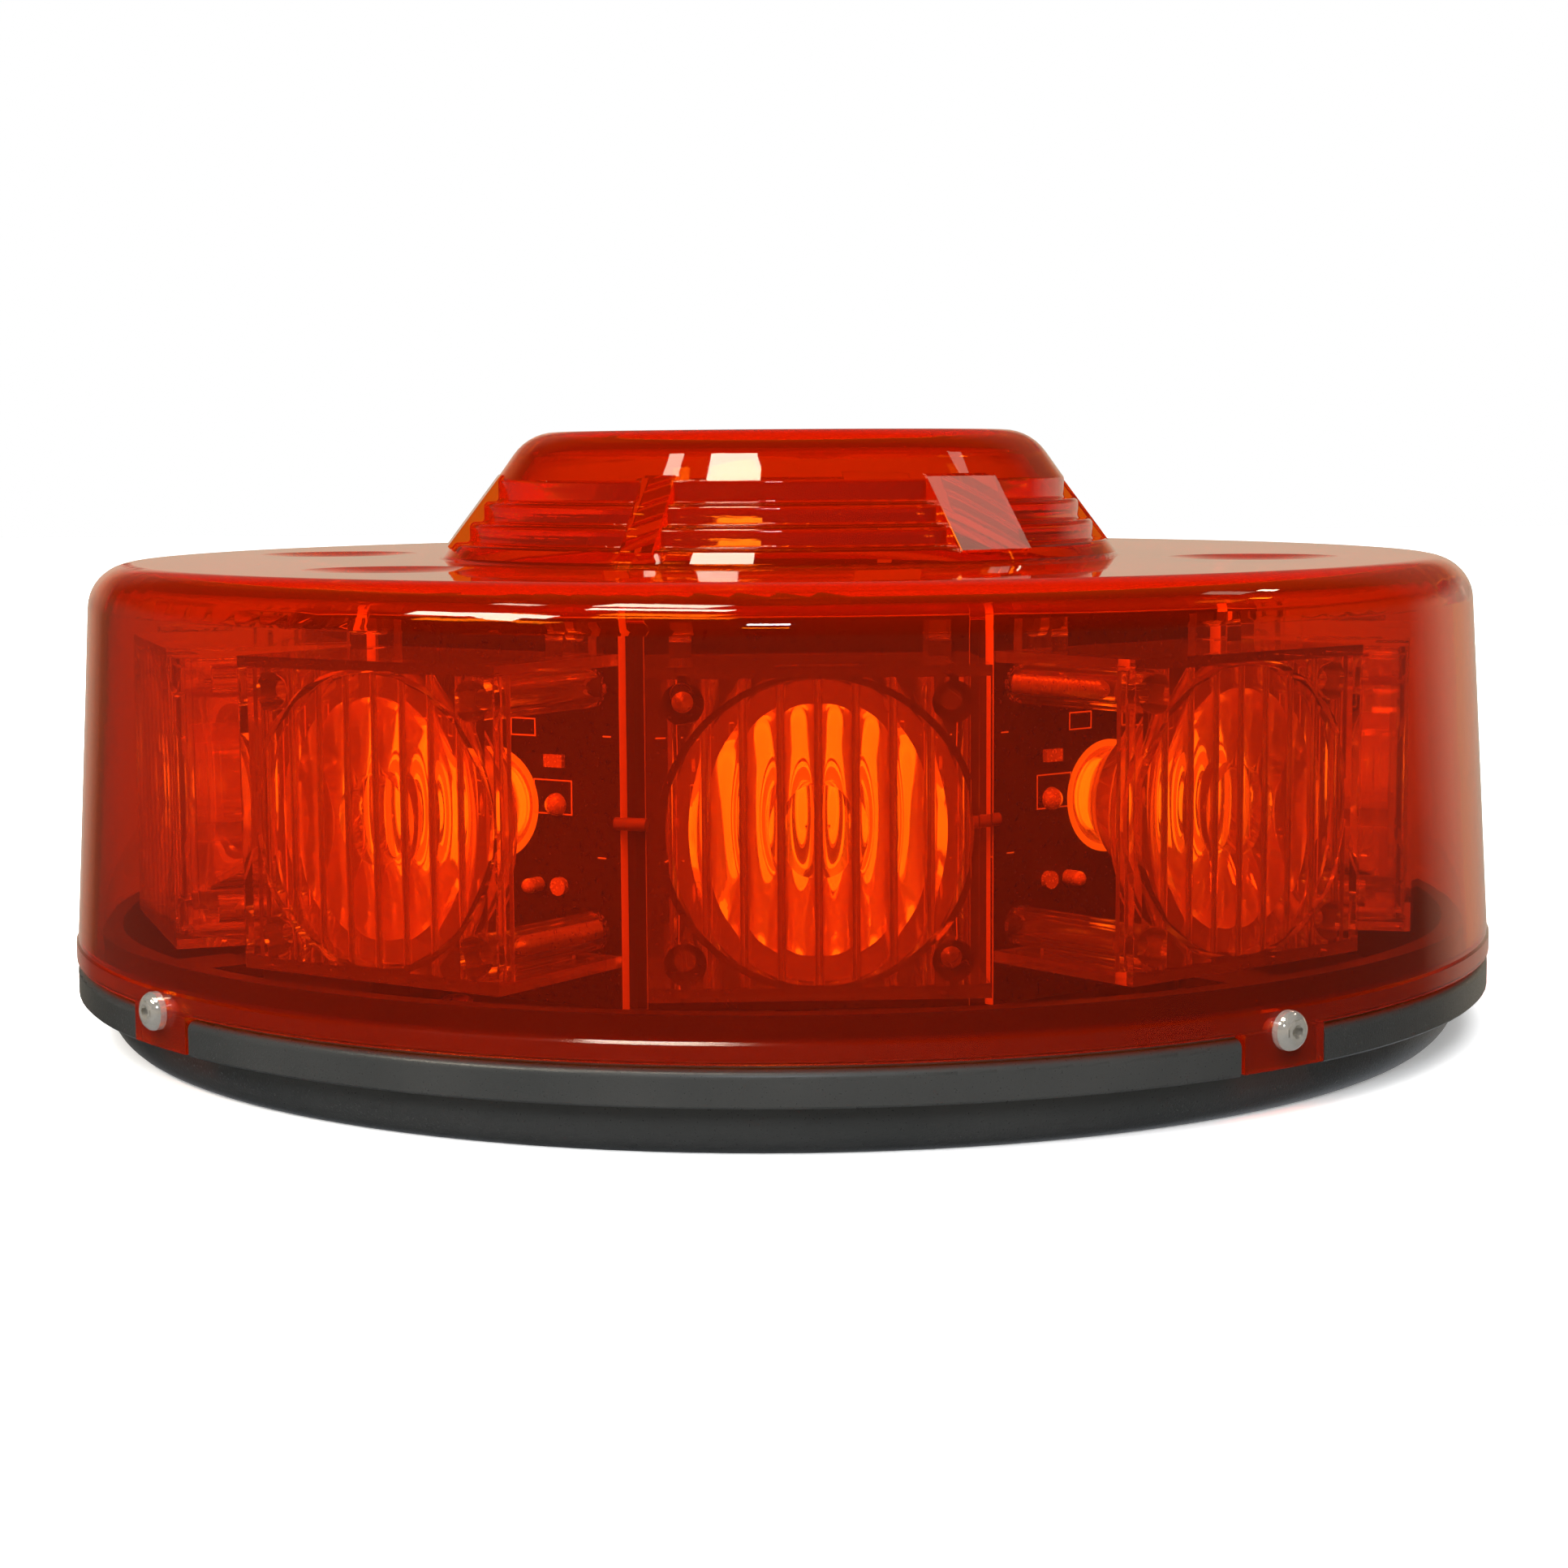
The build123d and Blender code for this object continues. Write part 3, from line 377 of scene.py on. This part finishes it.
def dome_plastic():
    """Amber plastic of the dome: dusty, hazier in its top, and matt on the lip at its foot."""
    material, nodes, links, shader, cloud = clear_plastic("amber_dome_plastic", **DOME_PLASTIC)
    split = nodes.new("ShaderNodeSeparateXYZ")
    links.new(nodes.new("ShaderNodeTexCoord").outputs["Object"], split.inputs[0])
    height = split.outputs["Z"]
    lip = spread(nodes, links, height, LIP_ROUGHNESS, 0, LIP_TOP - LIP_BLEND, LIP_TOP)
    gloss = shader.inputs["Roughness"].links[0].from_socket
    links.new(joined(nodes, links, "ADD", gloss, lip), shader.inputs["Roughness"])
    share = spread(nodes, links, height, WALL_HAZE, TOP_HAZE, *HAZE_RISE)
    dust = spread(nodes, links, specks(nodes, links), 0, DUST_HAZE, 0, 1)
    for extra in (dust, spread(nodes, links, lip, 0, LIP_HAZE, 0, LIP_ROUGHNESS)):
        share = joined(nodes, links, "ADD", share, extra)
    links.new(share, cloud.inputs[0])
    return material


def solid_finish(name, dark, light, rough, grain_scale, grain_depth, metal):
    """Opaque surface with a fine grain and uneven colour and gloss."""
    material, nodes, links, shader = new_material(name)
    cloud = noise(nodes, links, CLOUD_SCALE, 4)
    grain = noise(nodes, links, grain_scale, 2)
    links.new(blended(nodes, links, cloud, dark, light), shader.inputs["Base Color"])
    links.new(spread(nodes, links, grain, *rough), shader.inputs["Roughness"])
    shader.inputs["Metallic"].default_value = metal
    bumped(nodes, links, shader, grain, grain_depth)
    return material


def dress(material, *names):
    """Gives CAD nodes a material."""
    for name in names:
        for slot in NODES[name].material_slots:
            slot.link = "OBJECT"
            slot.material = material


def numbered(name):
    """Names of one part in all ten heads."""
    return [f"{name}_{number:02d}" for number in range(1, HEADS + 1)]


def painted_glow(shader, colour, strength):
    """Adds a painted glow of its own to a surface, light that comes from no lamp."""
    shader.inputs["Emission Color"].default_value = (*colour, 1)
    shader.inputs["Emission Strength"].default_value = strength


def led_material():
    """Yellow phosphor of the LEDs, with a painted glow of its own: the LEDs are not lit, and the glow
    stands in for lamp light on them.
    """
    material, nodes, links, shader = new_material("led_phosphor_painted_glow")
    cloud = noise(nodes, links, PHOSPHOR_SCALE, 2)
    links.new(blended(nodes, links, cloud, *PHOSPHOR), shader.inputs["Base Color"])
    shader.inputs["Roughness"].default_value = PHOSPHOR_ROUGHNESS
    painted_glow(shader, *PHOSPHOR_PAINTED_GLOW)
    return material


def pad_material():
    """White solder mask under the LEDs, with a painted glow of its own in place of light from their
    phosphor.
    """
    material = solid_finish("led_pad_mask_painted_glow", *PAD_FINISH)
    painted_glow(material.node_tree.nodes["Principled BSDF"], *PAD_PAINTED_GLOW)
    return material


def dress_nodes():
    """Finishes of the CAD nodes."""
    cover = clear_plastic("clear_cover_plastic", **COVER_PLASTIC)[0]
    optic = clear_plastic("clear_optic_plastic", **OPTIC_PLASTIC)[0]
    dress(dome_plastic(), "dome_lens")
    dress(cover, *numbered("optic_cover"))
    dress(optic, *numbered("collimator"))
    dress(led_material(), *numbered("led_emitter"))
    dress(solid_finish("black_board", *BOARD_FINISH), *numbered("led_board"))
    for name, (*finish, dressed) in FINISHES.items():
        dress(solid_finish(name, *finish), *dressed)
    housing = bpy.data.materials["black_housing_plastic"].node_tree.nodes["Principled BSDF"]
    housing.inputs["Specular IOR Level"].default_value = HOUSING_SPECULAR


# --- board edges, print and pads -------------------------------------------------------------
def slab(sheet, x, y, z, turn):
    """Thin closed box between pairs of x, y and z, turned about the axis."""
    corners = [sheet.verts.new(turn @ Vector((a, b, c))) for a in x for b in y for c in z]
    for ring in ((0, 1, 3, 2), (4, 6, 7, 5), (0, 4, 5, 1), (2, 3, 7, 6), (0, 2, 6, 4), (1, 5, 7, 3)):
        sheet.faces.new([corners[number] for number in ring])


def outline(sheet, x, z, front, turn):
    """Printed square: four strokes on the board's face."""
    face = (front - PRINT_HEIGHT, front)
    stroke = PRINT_STROKE
    slab(sheet, (x[0], x[1]), face, (z[0], z[0] + stroke), turn)
    slab(sheet, (x[0], x[1]), face, (z[1] - stroke, z[1]), turn)
    slab(sheet, (x[0], x[0] + stroke), face, (z[0] + stroke, z[1] - stroke), turn)
    slab(sheet, (x[1] - stroke, x[1]), face, (z[0] + stroke, z[1] - stroke), turn)


def disc(sheet, radius, height, front, turn):
    """Thin disc on the middle line of the board's face."""
    rings = []
    for y in (front - PRINT_HEIGHT, front):
        corners = []
        for step in range(PAD_POINTS):
            angle = 2 * math.pi * step / PAD_POINTS
            corner = Vector((radius * math.cos(angle), y, height + radius * math.sin(angle)))
            corners.append(sheet.verts.new(turn @ corner))
        rings.append(corners)
        sheet.faces.new(corners)
    for step in range(PAD_POINTS):
        after = (step + 1) % PAD_POINTS
        sheet.faces.new((rings[0][step], rings[0][after], rings[1][after], rings[1][step]))


def add_piece(name, sheet, material):
    """Makes a bmesh into a piece of the beacon."""
    bmesh.ops.recalc_face_normals(sheet, faces=sheet.faces)
    mesh = bpy.data.meshes.new(name)
    sheet.to_mesh(mesh)
    sheet.free()
    mesh.materials.append(material)
    piece = bpy.data.objects.new(name, mesh)
    SCENE.collection.objects.link(piece)
    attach(piece, "beacon")


def board_details():
    """Pale sawn edges of the LED boards, the white print on their faces and the pads under the LEDs."""
    low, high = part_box("led_board_01")
    front, back = low[1], high[1]
    emitter_low, emitter_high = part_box("led_emitter_01")
    led_height = (emitter_low[2] + emitter_high[2]) / 2
    laminate = solid_finish("board_laminate", *LAMINATE_FINISH)
    white = solid_finish("board_print_ink", *INK_FINISH)
    edges, print_marks, pads = bmesh.new(), bmesh.new(), bmesh.new()
    for number in range(HEADS):
        turn = Matrix.Rotation(2 * math.pi * number / HEADS, 3, "Z")
        for side in (-1, 1):
            x = sorted((side * high[0], side * (high[0] + EDGE_SKIN)))
            slab(edges, x, (front, back), (low[2], high[2]), turn)
            for across, heights in SQUARES:
                outline(print_marks, sorted(side * x for x in across), heights, front, turn)
            for x, z in DASHES:
                dash = sorted((side * x, side * (x + DASH_LENGTH)))
                slab(print_marks, dash, (front - PRINT_HEIGHT, front), (z, z + PRINT_STROKE), turn)
        slab(edges, (low[0], high[0]), (front, back), (high[2], high[2] + EDGE_SKIN), turn)
        disc(pads, LED_PAD, led_height, front, turn)
    add_piece("board_edges", edges, laminate)
    add_piece("led_pads", pads, pad_material())
    add_piece("board_print", print_marks, white)


def render_settings():
    """Colours as they are, and enough bounces for the clear plastics."""
    SCENE.view_settings.view_transform = "Standard"
    cycles = SCENE.cycles
    cycles.max_bounces = 24
    cycles.transmission_bounces = 24
    cycles.glossy_bounces = 12
    cycles.transparent_max_bounces = 40
    cycles.diffuse_bounces = 4
    cycles.sample_clamp_indirect = 6


make_camera()
make_world()
make_lamps()
make_floor()
dress_nodes()
board_details()
render_settings()
